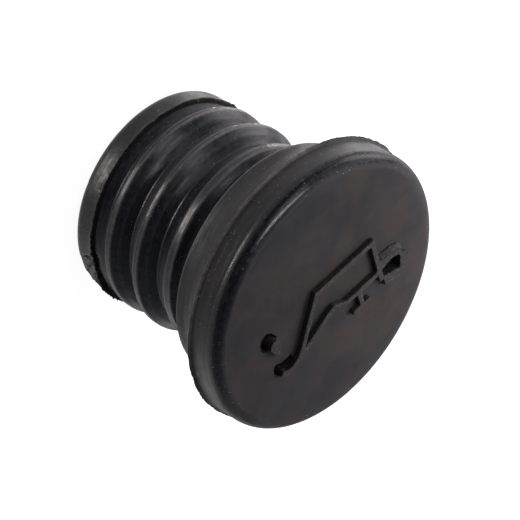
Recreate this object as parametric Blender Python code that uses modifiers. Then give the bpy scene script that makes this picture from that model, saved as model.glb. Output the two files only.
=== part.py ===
"""Oil filler cap: a one-piece moulded rubber plug that is pushed into a round filler neck.

The cap stands on its inner end with its head up. +Z is its axis, and the origin is the centre of
the inner end. The head carries a raised oil can with a falling drop. Below the head come a
flared collar with a flat seat, a neck, three snap-in ribs and an end land. A plain blind hollow,
open at the inner end, lets the ribs give when the cap is pushed in. All sizes are in metres.
"""

import math

import bmesh
import bpy

# End land: the plain band at the inner end.
END_LAND_RADIUS = 0.01805
END_LAND_LENGTH = 0.0041
END_EDGE_ROUNDING = 0.0017
MOUTH_EDGE_ROUNDING = 0.0008

# Ribs, from the inner end up. Each rises on a long ramp, has a short land and falls in two slopes.
RIB_CREST_RADII = (0.01815, 0.01815, 0.01750)
RIB_LANDS = (0.00095, 0.00085, 0.00130)
FIRST_CREST_OFFSET = 0.0035
RIB_PITCH = 0.0064
RIB_SLOPE_LENGTH = 0.0012
RIB_SLOPE_DROP = 0.00105
RIB_FOOT_LENGTH = 0.00115
CREST_SOFTENING = 0.00012
GROOVE_RADIUS = 0.01585
GROOVE_FLOOR_LENGTH = 0.00025

# Neck and collar. The flat seat under the collar's lip rests on the filler neck's edge.
NECK_LENGTH = 0.0020
COLLAR_LIP_RADIUS = 0.0202
COLLAR_LIP_LENGTH = 0.0012
COLLAR_LIP_ROUNDING = 0.00025
COLLAR_LENGTH = 0.00715
COLLAR_TOP_RADIUS = 0.0236
FLARE_TURN = math.radians(63)

# Head, with the thin line of flash that the mould leaves behind its rim.
HEAD_RADIUS = 0.0240
HEAD_EDGE_ROUNDING = 0.00215
RIM_LENGTH = 0.0061
RIM_TAPER = 0.00025
FLASH_REACH = 0.000825
FLASH_THICKNESS = 0.0004

# Hollow.
WALL_THICKNESS = 0.0038
HEAD_THICKNESS = 0.0093
HOLLOW_CORNER_ROUNDING = 0.0020

# Pictogram. Its drawing is laid out on a grid of squares this wide, centred on the head. Its strokes
# stand proud of the face, and three pockets are sunk into it.
SYMBOL_SQUARE = 0.0010
STROKE_WIDTH = 0.00105
RELIEF_HEIGHT = 0.00085
RELIEF_ROOT = 0.0004
POCKET_DEPTH = 0.0009

# How finely round shapes are faceted.
TURNING_STEPS = 72
ROUNDING_STEPS = 4
FLARE_STEPS = 6
WELD_DISTANCE = 0.000001
CUTTER_OVERRUN = 0.0005
SHARP_ANGLE = math.radians(30)

# The oil can's strokes, in grid squares: corner points, then the share of the full stroke width.
CAN_STROKES = (
    ("bottom", ((-10.4, -3.4), (3.0, -3.4)), 1.05),
    ("back", ((-9.95, -3.9), (-9.95, 5.6)), 0.86),
    ("lid", ((-10.2, 3.55), (-2.0, 3.55), (0.25, 2.1), (7.9, 5.55)), 0.95),
    ("spout", ((2.55, -3.7), (8.1, 4.75), (8.9, 5.75), (9.9, 6.35), (11.0, 6.6), (11.9, 6.4), (12.7, 5.95)), 1.0),
    ("knob_stem", ((-5.2, 3.6), (-5.2, 7.2)), 0.85),
    ("knob_bar", ((-7.05, 6.85), (-3.1, 6.85)), 0.90),
    ("handle", ((-10.1, 2.4), (-12.6, 2.15), (-14.2, 2.55), (-15.3, 3.5), (-15.1, 5.0), (-14.4, 6.45),
                (-12.8, 6.3), (-10.1, 5.55)), 1.0),
)
DROP_OUTLINE = (
    (12.4, 1.9), (11.75, 0.2), (11.5, -0.6), (11.65, -1.25), (12.1, -1.7), (12.65, -1.83), (13.2, -1.68),
    (13.6, -1.25), (13.73, -0.65), (13.5, 0.05),
)
HANDLE_POCKET = ((-14.6, 3.6), (-13.9, 5.7), (-12.6, 5.4), (-10.7, 4.85), (-10.7, 3.5), (-12.3, 3.0), (-13.5, 3.05))
SPOUT_POCKET = (
    (9.7, 5.35), (10.3, 5.75), (11.0, 5.9), (11.7, 5.75), (12.4, 5.3), (13.0, 5.2), (13.4, 5.7), (13.7, 5.3),
    (13.4, 4.4), (12.9, 4.05), (12.2, 4.5), (11.2, 4.7), (9.9, 4.65),
)
DROP_POCKET = (
    (11.8, -1.9), (12.6, -2.05), (13.35, -1.85), (13.85, -1.3), (13.95, -0.6), (14.4, -0.6), (14.75, -1.3),
    (14.6, -2.5), (13.95, -3.3), (13.0, -3.35), (12.1, -2.6),
)


def clear_scene():
    """Remove every object that the file opened with."""
    for thing in list(bpy.data.objects):
        bpy.data.objects.remove(thing, do_unlink=True)


def make_collection(name):
    """Add a collection to the scene."""
    collection = bpy.data.collections.new(name)
    bpy.context.scene.collection.children.link(collection)
    return collection


def rubber_material():
    """Black moulded rubber, matt with a slight sheen."""
    material = bpy.data.materials.new("moulded_rubber")
    material.use_nodes = True
    shader = material.node_tree.nodes["Principled BSDF"]
    shader.inputs["Base Color"].default_value = (0.022, 0.021, 0.023, 1.0)
    shader.inputs["Roughness"].default_value = 0.55
    shader.inputs["Metallic"].default_value = 0.0
    return material


def arc(centre_r, centre_z, radius, start, end, steps):
    """Profile points along an arc; the angle is measured from +r towards +z."""
    points = []
    for step in range(steps + 1):
        angle = start + (end - start) * step / steps
        points.append((centre_r + radius * math.cos(angle), centre_z + radius * math.sin(angle)))
    return points


def crest_heights():
    """Height of each rib's crest above the inner end."""
    first = END_LAND_LENGTH + FIRST_CREST_OFFSET
    return [first + index * RIB_PITCH for index in range(len(RIB_CREST_RADII))]


def rib_top(index):
    """Height at which a rib's back slopes reach the floor of the groove above it."""
    return crest_heights()[index] + RIB_LANDS[index] + RIB_SLOPE_LENGTH + RIB_FOOT_LENGTH


def seat_height():
    """Height of the flat seat under the collar."""
    return rib_top(len(RIB_CREST_RADII) - 1) + NECK_LENGTH


def mould_line_height():
    """Height of the flash line between collar and rim."""
    return seat_height() + COLLAR_LENGTH


def face_height():
    """Height of the head's flat face."""
    return mould_line_height() + RIM_LENGTH


def head_profile():
    """Face, rounded edge, rim and flash, down to the top of the collar."""
    face = face_height()
    line = mould_line_height()
    quarter = math.pi / 2
    points = [(0.0, face)]
    points += arc(HEAD_RADIUS - HEAD_EDGE_ROUNDING, face - HEAD_EDGE_ROUNDING, HEAD_EDGE_ROUNDING,
                  quarter, 0.0, ROUNDING_STEPS + 1)
    rim_back = HEAD_RADIUS - RIM_TAPER
    flash_radius = (rim_back + COLLAR_TOP_RADIUS) / 2 + FLASH_REACH
    points.append((rim_back, line + FLASH_THICKNESS))
    points.append((flash_radius, line + FLASH_THICKNESS / 2))
    points.append((flash_radius, line))
    return points


def collar_profile():
    """Collar, flared inwards and down to its lip, and the seat beneath it."""
    seat = seat_height()
    flare_start = seat + COLLAR_LIP_LENGTH
    flare_end = mould_line_height() - FLASH_THICKNESS
    rise = flare_end - flare_start
    reach = COLLAR_TOP_RADIUS - COLLAR_LIP_RADIUS
    points = []
    for step in range(FLARE_STEPS + 1):
        angle = FLARE_TURN * (1 - step / FLARE_STEPS)
        outward = (1 - math.cos(angle)) / (1 - math.cos(FLARE_TURN))
        upward = math.sin(angle) / math.sin(FLARE_TURN)
        points.append((COLLAR_LIP_RADIUS + reach * outward, flare_start + rise * upward))
    points.append((COLLAR_LIP_RADIUS, seat + COLLAR_LIP_ROUNDING))
    points.append((COLLAR_LIP_RADIUS - COLLAR_LIP_ROUNDING, seat))
    points.append((GROOVE_RADIUS, seat))
    return points


def rib_profile(index):
    """One rib from the groove above it down to its crest."""
    crest = crest_heights()[index]
    radius = RIB_CREST_RADII[index]
    land_top = crest + RIB_LANDS[index]
    return [
        (GROOVE_RADIUS, rib_top(index)),
        (radius - RIB_SLOPE_DROP, land_top + RIB_SLOPE_LENGTH),
        (radius - CREST_SOFTENING, land_top + CREST_SOFTENING),
        (radius, land_top - CREST_SOFTENING),
        (radius, crest + CREST_SOFTENING),
        (radius - CREST_SOFTENING, crest - CREST_SOFTENING),
    ]


def ribs_profile():
    """The ribs from the top one down, each groove with its narrow floor."""
    points = []
    for index in reversed(range(len(RIB_CREST_RADII))):
        points += rib_profile(index)
        below = rib_top(index - 1) if index else END_LAND_LENGTH + RIB_FOOT_LENGTH
        points.append((GROOVE_RADIUS, below + GROOVE_FLOOR_LENGTH))
    points.append((GROOVE_RADIUS, END_LAND_LENGTH + RIB_FOOT_LENGTH))
    points.append((END_LAND_RADIUS - RIB_SLOPE_DROP, END_LAND_LENGTH + CREST_SOFTENING))
    return points


def end_profile():
    """End land, its rounded edge and the flat ring that the cap stands on."""
    quarter = math.pi / 2
    points = [(END_LAND_RADIUS, END_LAND_LENGTH)]
    points += arc(END_LAND_RADIUS - END_EDGE_ROUNDING, END_EDGE_ROUNDING, END_EDGE_ROUNDING,
                  0.0, -quarter, ROUNDING_STEPS)
    return points


def hollow_profile():
    """Mouth, wall and roof of the hollow, ending on the axis."""
    radius = GROOVE_RADIUS - WALL_THICKNESS
    roof = face_height() - HEAD_THICKNESS
    half = math.pi
    quarter = math.pi / 2
    points = arc(radius + MOUTH_EDGE_ROUNDING, MOUTH_EDGE_ROUNDING, MOUTH_EDGE_ROUNDING,
                 -quarter, -half, ROUNDING_STEPS - 1)
    points += arc(radius - HOLLOW_CORNER_ROUNDING, roof - HOLLOW_CORNER_ROUNDING, HOLLOW_CORNER_ROUNDING,
                  0.0, quarter, ROUNDING_STEPS)
    points.append((0.0, roof))
    return points


def turned_body(name, profile):
    """Turn a profile about +Z with a Screw modifier."""
    mesh = bpy.data.meshes.new(name)
    build = bmesh.new()
    corners = [build.verts.new((radius, 0.0, height)) for radius, height in profile]
    for upper, lower in zip(corners, corners[1:]):
        build.edges.new((upper, lower))
    build.to_mesh(mesh)
    build.free()
    body = bpy.data.objects.new(name, mesh)
    screw = body.modifiers.new("turn", "SCREW")
    screw.axis = "Z"
    screw.angle = 2 * math.pi
    screw.steps = TURNING_STEPS
    screw.render_steps = TURNING_STEPS
    screw.use_merge_vertices = True
    screw.merge_threshold = WELD_DISTANCE
    screw.use_smooth_shade = True
    return body


def stroke_outline(points, width):
    """Closed outline of a stroke of even width along corner points, with mitred corners."""
    half = width / 2
    left = []
    right = []
    for index, (x, y) in enumerate(points):
        before = points[max(index - 1, 0)]
        after = points[min(index + 1, len(points) - 1)]
        normals = []
        for start, end in ((before, (x, y)), ((x, y), after)):
            run = math.hypot(end[0] - start[0], end[1] - start[1])
            if run > 0:
                normals.append((-(end[1] - start[1]) / run, (end[0] - start[0]) / run))
        mean = (sum(n[0] for n in normals) / len(normals), sum(n[1] for n in normals) / len(normals))
        square = mean[0] ** 2 + mean[1] ** 2
        offset = (mean[0] / square * half, mean[1] / square * half)
        left.append((x + offset[0], y + offset[1]))
        right.append((x - offset[0], y - offset[1]))
    return left + right[::-1]


def on_grid(points):
    """Turn grid squares into metres."""
    return [(x * SYMBOL_SQUARE, y * SYMBOL_SQUARE) for x, y in points]


def prism(name, outline, low, high, collection):
    """A prism over a closed outline between two heights, kept out of the render."""
    curve = bpy.data.curves.new(name, "CURVE")
    curve.dimensions = "2D"
    curve.fill_mode = "BOTH"
    curve.extrude = (high - low) / 2
    spline = curve.splines.new("POLY")
    spline.points.add(len(outline) - 1)
    for point, (x, y) in zip(spline.points, outline):
        point.co = (x, y, 0.0, 1.0)
    spline.use_cyclic_u = True
    sketch = bpy.data.objects.new(name + "_sketch", curve)
    sketch.location.z = (low + high) / 2
    collection.objects.link(sketch)
    graph = bpy.context.evaluated_depsgraph_get()
    mesh = bpy.data.meshes.new_from_object(sketch.evaluated_get(graph))
    build = bmesh.new()
    build.from_mesh(mesh)
    bmesh.ops.remove_doubles(build, verts=build.verts, dist=WELD_DISTANCE)
    bmesh.ops.recalc_face_normals(build, faces=build.faces)
    build.to_mesh(mesh)
    build.free()
    solid = bpy.data.objects.new(name, mesh)
    collection.objects.link(solid)
    graph.update()
    solid.matrix_world = sketch.matrix_world.copy()
    bpy.data.objects.remove(sketch, do_unlink=True)
    solid.hide_render = True
    solid.display_type = "WIRE"
    return solid


def relief_solids(collection):
    """Every raised stroke of the pictogram, rooted in the head."""
    low = face_height() - RELIEF_ROOT
    high = face_height() + RELIEF_HEIGHT
    solids = []
    for name, points, share in CAN_STROKES:
        outline = stroke_outline(on_grid(points), STROKE_WIDTH * share)
        solids.append(prism("raise_" + name, outline, low, high, collection))
    solids.append(prism("raise_drop", on_grid(DROP_OUTLINE), low, high, collection))
    return solids


def pocket_cutters(collection):
    """The pockets inside the handle, under the spout and below the drop."""
    low = face_height() - POCKET_DEPTH
    high = face_height() + CUTTER_OVERRUN
    pockets = (("handle", HANDLE_POCKET), ("spout", SPOUT_POCKET), ("drop", DROP_POCKET))
    return [prism("cut_" + name, on_grid(points), low, high, collection) for name, points in pockets]


def combine(body, solids, operation):
    """Join each solid to the body, or take it out of the body."""
    for solid in solids:
        boolean = body.modifiers.new(solid.name, "BOOLEAN")
        boolean.operation = operation
        boolean.solver = "EXACT"
        boolean.object = solid


def shade_round(body):
    """Smooth shading with creases kept sharp, on the finished shape."""
    body.data.shade_smooth()
    body.data.set_sharp_from_angle(angle=SHARP_ANGLE)


def oil_filler_cap(parts, cutters):
    """The moulded plug with its raised pictogram."""
    profile = head_profile() + collar_profile() + ribs_profile() + end_profile() + hollow_profile()
    body = turned_body("oil_filler_cap", profile)
    body.data.materials.append(rubber_material())
    parts.objects.link(body)
    combine(body, relief_solids(cutters), "UNION")
    combine(body, pocket_cutters(cutters), "DIFFERENCE")
    return body


def main():
    clear_scene()
    parts = make_collection("oil_filler_cap")
    cutters = make_collection("cutters")
    body = oil_filler_cap(parts, cutters)
    bpy.context.view_layer.update()
    shade_round(body)


main()
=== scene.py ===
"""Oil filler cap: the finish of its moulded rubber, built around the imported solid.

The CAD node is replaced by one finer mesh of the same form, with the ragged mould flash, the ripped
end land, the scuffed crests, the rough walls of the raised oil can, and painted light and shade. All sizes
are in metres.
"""

import math

import bmesh
import bpy
import numpy as np
from mathutils import Matrix, Vector, noise
from mathutils.geometry import delaunay_2d_cdt


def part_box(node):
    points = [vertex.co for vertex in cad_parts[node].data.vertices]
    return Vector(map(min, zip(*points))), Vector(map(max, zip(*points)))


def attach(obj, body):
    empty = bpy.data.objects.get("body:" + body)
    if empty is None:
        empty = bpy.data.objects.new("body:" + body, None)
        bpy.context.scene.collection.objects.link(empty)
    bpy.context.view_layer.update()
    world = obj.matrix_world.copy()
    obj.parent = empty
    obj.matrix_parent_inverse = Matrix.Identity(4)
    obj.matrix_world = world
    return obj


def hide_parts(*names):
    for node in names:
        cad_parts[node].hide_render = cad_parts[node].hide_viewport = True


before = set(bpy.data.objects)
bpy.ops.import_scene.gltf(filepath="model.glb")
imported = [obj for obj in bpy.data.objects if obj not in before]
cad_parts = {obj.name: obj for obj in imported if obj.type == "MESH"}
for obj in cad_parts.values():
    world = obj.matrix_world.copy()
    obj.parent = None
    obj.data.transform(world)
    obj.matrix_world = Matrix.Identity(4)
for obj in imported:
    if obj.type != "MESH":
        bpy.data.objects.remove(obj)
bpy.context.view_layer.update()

_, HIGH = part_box("oil_filler_cap")
QUARTER = math.pi / 2

# Heights and radii that the frame gives. The pictogram stands proud of the face.
RELIEF_HEIGHT = 0.00085
FACE_HEIGHT = HIGH.z - RELIEF_HEIGHT
FLASH_RADIUS = HIGH.x

# Head.
FLASH_REACH = 0.00075
RIM_TAPER = 0.00025
HEAD_EDGE_ROUNDING = 0.00215
RIM_GUARD = 0.0004
RIM_LENGTH = 0.0061
FLASH_THICKNESS = 0.0004
HEAD_RADIUS = FLASH_RADIUS - FLASH_REACH + RIM_TAPER
FLAT_RADIUS = HEAD_RADIUS - HEAD_EDGE_ROUNDING
MOULD_LINE = FACE_HEIGHT - RIM_LENGTH

# Collar and neck.
COLLAR_LENGTH = 0.00715
COLLAR_TOP_RADIUS = 0.0236
COLLAR_LIP_RADIUS = 0.0202
COLLAR_LIP_LENGTH = 0.0012
FLARE_STEPS = 12
FLASH_ROOT_SHARE = 0.55
LIP_ROUNDING = 0.00025
SEAT_CORNER_ROUNDING = 0.0003
SEAT = MOULD_LINE - COLLAR_LENGTH
NECK_LENGTH = 0.0020

# Ribs, from the inner end up.
GROOVE_RADIUS = 0.01585
RIB_CREST_RADII = (0.01815, 0.01815, 0.01750)
RIB_LANDS = (0.00095, 0.00085, 0.00130)
FIRST_CREST = 0.0076
RIB_PITCH = 0.0064
RIB_SLOPE_LENGTH = 0.0012
RIB_SLOPE_DROP = 0.00105
RIB_FOOT_LENGTH = 0.00115
GROOVE_FLOORS = (0.00025, 0.00035, 0.00035)
LEDGE_DROP = 0.00072
FIRST_GROOVE_RADIUS = 0.0166
FIRST_GROOVE_START = 0.0060
# Rounding of each rib corner, and how far it is rubbed pale.
FOOT_CORNER = (0.00012, 0.0)
SLOPE_CORNER = (0.00018, 0.12)
LAND_CORNER = (0.00016, 0.75)
CREST_CORNER = (0.00022, 0.1)

# End land and hollow.
END_LAND_RADIUS = 0.01805
END_LAND_LENGTH = 0.0041
END_EDGE_ROUNDING = 0.0017
LEDGE_RISE = 0.00018
MOUTH_EDGE_ROUNDING = 0.0008
HOLLOW_RADIUS = 0.01205
HOLLOW_ROOF = FACE_HEIGHT - 0.0093
HOLLOW_CORNER_ROUNDING = 0.0020
ROOF_CENTRE = 0.0015

# Tears on the end land: from and to which angle in degrees, how many degrees a millimetre of height
# they lean, depth at both ends, lowest and highest height, and how black they show at both ends, as
# fresh rubber and as painted shade in the tear. A negative depth is a ripped fringe that stands out.
TEARS = (
    (-6.1, 3.6, -1.9, 0.00028, 0.00003, 0.0003, 0.006, 0.8, 0.0),
    (3.6, 12.5, -4.8, 0.00032, 0.00002, 0.0004, 0.006, 0.9, 0.0),
    (12.5, 16.0, -5.0, 0.00030, 0.00005, 0.0004, 0.006, 1.0, 0.5),
    (16.0, 24.0, -5.0, 0.00012, -0.00016, 0.0002, 0.006, 1.0, 1.0),
    (24.0, 42.0, -5.0, -0.00026, -0.00034, 0.0002, 0.006, 1.0, 1.0),
    (42.0, 52.0, -5.0, -0.00034, 0.0, 0.0002, 0.006, 1.0, 0.0),
    (-47.8, -45.0, 0.0, 0.00025, 0.00008, 0.0, 0.0015, 0.0, 0.0),
)
# How many times faster than its depth a tear turns black, as fresh rubber and painted shade, how rough it is
# cut, the height from which it leans, over which heights it fades in and out, and how far over and inside the
# land it reaches.
BLACK_TURN = 3.0
TEAR_ROUGHNESS = 1.1
TEAR_LEAN_HEIGHT = 0.002
TEAR_FADE_IN = 0.0012
TEAR_FADE_OUT = 0.0004
TEAR_OVER = 0.0002
TEAR_INSIDE = 0.0012

# Unevenness: of the turned rubber, which is calm near the end ring and the face, and of the flash
# outwards and along the axis.
BARREL_WAVE = 0.000018
END_CALM = 0.0002
FACE_CALM = 0.0004
FLASH_STRAY = 0.00028
FLASH_SWAY = 0.00014

# Fineness of the mesh.
AROUND = 480
AROUND_HOLLOW = 120
WIDEST_RING_GAP = 0.0007
LINE_WIDTH = 0.00016
WELD_DISTANCE = 0.000002
SHARP_ANGLE = math.radians(38)

# Pictogram, laid out in squares of this size about the head's centre. Lengths below are in squares.
SYMBOL_SQUARE = 0.0010
STROKE_WIDTH = 1.05
WALL_DRAFT = 0.10
CROWN_SOFTENING = 0.10
OUTLINE_STEP = 0.16
OUTLINE_RAGGEDNESS = 0.05
FACE_GRID = 0.9
FINE_GRID = 0.27
FINE_REACH = 1.1
POCKET_DEPTH = 1.15
POCKET_EDGE = 0.16
SLOPE_FOOT = 0.25
SLOPE_WIDTH = 1.15
FACE_WAVE = 0.00002
FAR = 99.0
# The pocket below the drop is dusty: where it starts, and how black its painted shade still is.
DUSTY_POCKET_LEFT = 10.8
DUSTY_POCKET_TOP = 3.0
DUSTY_POCKET_BLACK = 0.62

CAN_STROKES = (
    ((-10.35, -3.38), (3.0, -3.38), 1.0),
    ((-10.07, -3.9), (-10.07, 5.45), 0.90),
    ((-10.2, 3.45), (-2.1, 3.45), (0.15, 2.15), (2.0, 2.8), (4.0, 3.75), (6.0, 4.7), (8.0, 5.5), 0.93),
    ((2.5, -3.65), (5.2, 0.45), (8.0, 4.75), (8.9, 5.65), (9.9, 6.3), (11.0, 6.6), (11.9, 6.4), (12.55, 6.05),
     (12.9, 5.75), 0.96),
    ((-5.25, 3.5), (-5.25, 6.7), 0.92),
    ((-7.05, 6.85), (-3.1, 6.85), 0.88),
)
CAN_CORNER_FILL = ((7.5, 5.15), (8.3, 5.5), (7.9, 4.8), (7.55, 4.6))
HANDLE_OUTLINE = (
    (-10.4, 6.9), (-12.0, 7.3), (-14.2, 7.65), (-15.0, 6.9), (-15.35, 5.5), (-15.55, 4.3), (-15.8, 3.6),
    (-15.7, 2.4), (-15.05, 1.5), (-14.05, 1.05), (-13.05, 0.85), (-11.05, 0.7), (-10.0, 0.65), (-10.0, 5.3),
    (-10.45, 5.6),
)
HANDLE_HOLE = (
    (-14.1, 6.0), (-12.4, 5.45), (-10.55, 4.9), (-10.55, 3.3), (-12.0, 3.0), (-13.0, 2.75), (-14.6, 3.4),
    (-14.65, 4.0),
)
HANDLE_SLOPE = (
    (-15.35, 3.3), (-16.4, 4.0), (-16.6, 1.0), (-14.0, 0.2), (-10.55, 0.2), (-10.55, 1.15), (-12.0, 1.55),
    (-13.0, 1.85), (-14.6, 2.0), (-15.15, 2.5),
)
DROP_OUTLINE = (
    (12.4, 2.0), (12.05, 1.1), (11.7, 0.2), (11.5, -0.5), (11.55, -1.0), (11.8, -1.45), (12.2, -1.75),
    (12.65, -1.83), (13.1, -1.73), (13.45, -1.45), (13.68, -1.05), (13.73, -0.6), (13.6, -0.1), (13.2, 0.6),
)
SPOUT_POCKET = (
    (9.6, 5.2), (10.2, 6.2), (11.0, 6.4), (12.0, 6.1), (12.6, 5.9), (13.3, 6.3), (13.75, 5.4), (13.45, 4.3),
    (12.9, 4.05), (12.2, 4.5), (11.0, 4.7), (9.9, 4.65),
)
DROP_POCKET = (
    (11.6, -1.3), (12.6, -1.2), (13.6, -0.9), (13.8, -0.3), (14.3, -0.5), (14.75, -1.2), (14.65, -2.5),
    (13.9, -3.3), (13.1, -3.35), (12.2, -2.7),
)

# What every vertex carries: pale for wear and for painted light, darker shank rubber, the pictogram's dust,
# black for tears and for painted shade, gloss.
MARKS = ("worn", "shank", "sign", "torn_and_shade", "gloss")
WORN_AND_LIT, SHANK, _, TORN_AND_SHADE, GLOSS = range(len(MARKS))

# Finish of the rubber. A stretch is an angle range in degrees: from where it starts to fade in, holds,
# starts to fade out and is gone.
HEAD_COLOUR = (0.0180, 0.0172, 0.0190, 1.0)
HEAD_BROWN = (0.0275, 0.0205, 0.0208, 1.0)
HEAD_PALE = (0.032, 0.030, 0.031, 1.0)
SHANK_COLOUR = (0.0215, 0.0228, 0.0310, 1.0)
SHANK_WARM = (0.036, 0.0335, 0.0340, 1.0)
DUST_FILM = (0.048, 0.045, 0.045, 1.0)
# Black of fresh tears, also painted as shade on the head's edge, under the flash, on the ledge, in the
# pockets and on the pictogram's walls.
TORN_AND_SHADE_COLOUR = (0.0025, 0.0022, 0.0022, 1.0)
# Pale of wear and dust flecks, also used for painted light on the rim's side and a painted highlight on the
# flash.
WORN_AND_LIT_COLOUR = (0.28, 0.240, 0.225, 1.0)
DUST_COLOUR = (0.40, 0.37, 0.35, 1.0)
HEAD_ROUGHNESS = 0.74
SHANK_ROUGHNESS = 0.22
DUST_ROUGHNESS = 0.6
TORN_AND_SHADE_ROUGHNESS = 1.0
GRIME_ROUGHNESS = 0.10
EDGE_ON_ROUGHNESS = 0.58
EDGE_GLOSS = 1.18
# Dark band painted on the head's rounded edge in the glossy stretch: painted shade for the dark reflection
# there.
EDGE_PAINTED_SHADE = 0.42
EDGE_MATT_SHANK = 0.25
EDGE_MATT_GLOSS = 0.50
GLOSSY_STRETCH = (-163.0, -145.0, -15.0, 12.0)
# Where the flash is painted pale: wear, and a painted highlight on its edge.
RUBBED_AND_LIT_STRETCH = (-122.0, -100.0, -25.0, 5.0)
# Painted shadow: the flash's tip is painted black outside its pale stretch.
FLASH_PAINTED_SHADOW = 1.0
RIM_GLOSS = 0.70
RIM_MATT = 0.12
RIM_RUB = 0.030
# Painted light: the rim's side is painted paler outside the matt stretch.
RIM_SIDE_PAINTED_LIGHT = 0.05
MATT_STRETCH = (-98.0, -76.0, -42.0, -14.0)
RIM_DARKNESS = 0.45
COLLAR_SHANK = 0.4
COLLAR_GLOSS = 0.50
# Painted shadow: the ledge behind the end land is painted black.
LEDGE_PAINTED_SHADOW = 0.9
LAND_BLACK = 0.35
LAND_GLOSS = 0.84
LAND_RUB = 0.025
LAND_SHANK = 0.35
SPECULAR_LEVEL = 0.215
# How near the mould line the flash can be rubbed pale or painted black as its shadow, how far above it the
# rim's side starts, and how near the land's edge and how far inside it the ledge is painted black as its
# shadow.
RUBBED_REACH = 0.00048
FLASH_SHADOW_REACH = 0.0002
RIM_START = 0.0005
LEDGE_REACH = 0.00025
LEDGE_INSET = 0.0001
GRAIN_PER_METRE = 5200.0
BUMP_STRENGTH = 0.55
BUMP_DEPTH = 0.00003
PALE_SHARE = 0.3
SIGN_FLECKS = 0.14
SIGN_DUST = 0.24
FILM_SHARE = 0.45
SPECK_SHARE = 0.75

# The flash's section, out from the rim and back under: share of its reach, height over the mould line,
# how pale, as wear and as a painted highlight, how ragged, how much it is shank rubber.
FLASH_SECTION = (
    (0.20, 0.00075, 0.0, 0.0, RIM_DARKNESS),
    (0.20, 0.00060, 0.0, 0.0, RIM_DARKNESS),
    (0.35, 0.00042, 0.25, 0.0, RIM_DARKNESS),
    (0.65, 0.00026, 1.0, 0.5, 1.0),
    (1.00, 0.00012, 1.0, 1.0, 1.0),
    (0.85, -0.00002, 1.0, 0.8, 1.0),
    (0.35, -0.00014, 0.3, 0.2, 1.0),
)

# Patterns over the rubber: how many to the metre, and between which limits patches fade in.
STREAKS = {"Per Metre": 2600.0, "Length": 0.05}
BROAD_PATCHES = {"Per Metre": 130.0, "Low": 0.42, "High": 0.60}
SMALL_PATCHES = {"Per Metre": 950.0, "Low": 0.41, "High": 0.66}
FINE_PATCHES = {"Per Metre": 2600.0, "Low": 0.3, "High": 0.75}
SETTLED_PATCHES = {"Per Metre": 140.0, "Low": 0.34, "High": 0.54}
FILM_PATCHES = {"Per Metre": 420.0, "Low": 0.45, "High": 0.80}
SMALL_DUST = {"Per Metre": 2100.0, "Share": 0.8, "Radius": 0.15}
LARGE_DUST = {"Per Metre": 900.0, "Share": 0.30, "Radius": 0.10}

# Camera: the photo's viewing angle, distance and framing.
CAMERA_AZIMUTH = math.radians(27.0)
CAMERA_ELEVATION = math.radians(34.79)
CAMERA_ROLL = math.radians(121.70)
CAMERA_DISTANCE = 0.528
CAMERA_LENS = 235.25
SENSOR = 36.0
AIM_HEIGHT = 0.0384
AIM_RIGHT = 0.010052
AIM_DOWN = 0.005189

# Soft boxes: direction from the cap, distance, width, height, watts and colour.
SOFT_BOXES = {
    "overhead_box": ((-0.25, 0.95, 0.28), 1.2, 1.0, 0.8, 3.4, (0.98, 0.99, 1.0)),
    "front_box": ((-0.297, -0.710, 0.640), 1.2, 0.6, 0.18, 1.8, (0.95, 0.97, 1.0)),
    "side_box": ((-1.0, -0.1, 0.12), 1.2, 0.8, 0.6, 6.0, (1.0, 0.97, 0.96)),
    "near_box": ((-0.66, 0.20, 0.72), 0.10, 0.05, 0.05, 0.140, (1.0, 0.965, 0.95)),
    "edge_box": ((-0.17, -0.38, 0.90), 1.2, 0.62, 0.26, 9.5, (1.0, 0.98, 0.97)),
    "back_glow": ((-0.74, 0.35, -0.571), 1.0, 0.7, 0.4, 2.3, (1.0, 0.98, 0.97)),
    "low_strip": ((0.494, -0.656, -0.571), 1.0, 0.46, 0.13, 6.0, (1.0, 0.96, 0.92)),
}
FLOOR_SIZE = 6.0
FLOOR_DROP = 0.00002


def smooth_noise(point, grain):
    """Noise between about -1 and 1 whose bumps are about grain wide."""
    return noise.noise(point / grain)


def arc(centre_r, centre_z, radius, start, end, steps):
    """Profile points along an arc; the angle is measured from +r towards +z."""
    points = []
    for step in range(steps + 1):
        angle = start + (end - start) * step / steps
        points.append((centre_r + radius * math.cos(angle), centre_z + radius * math.sin(angle)))
    return points


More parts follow.
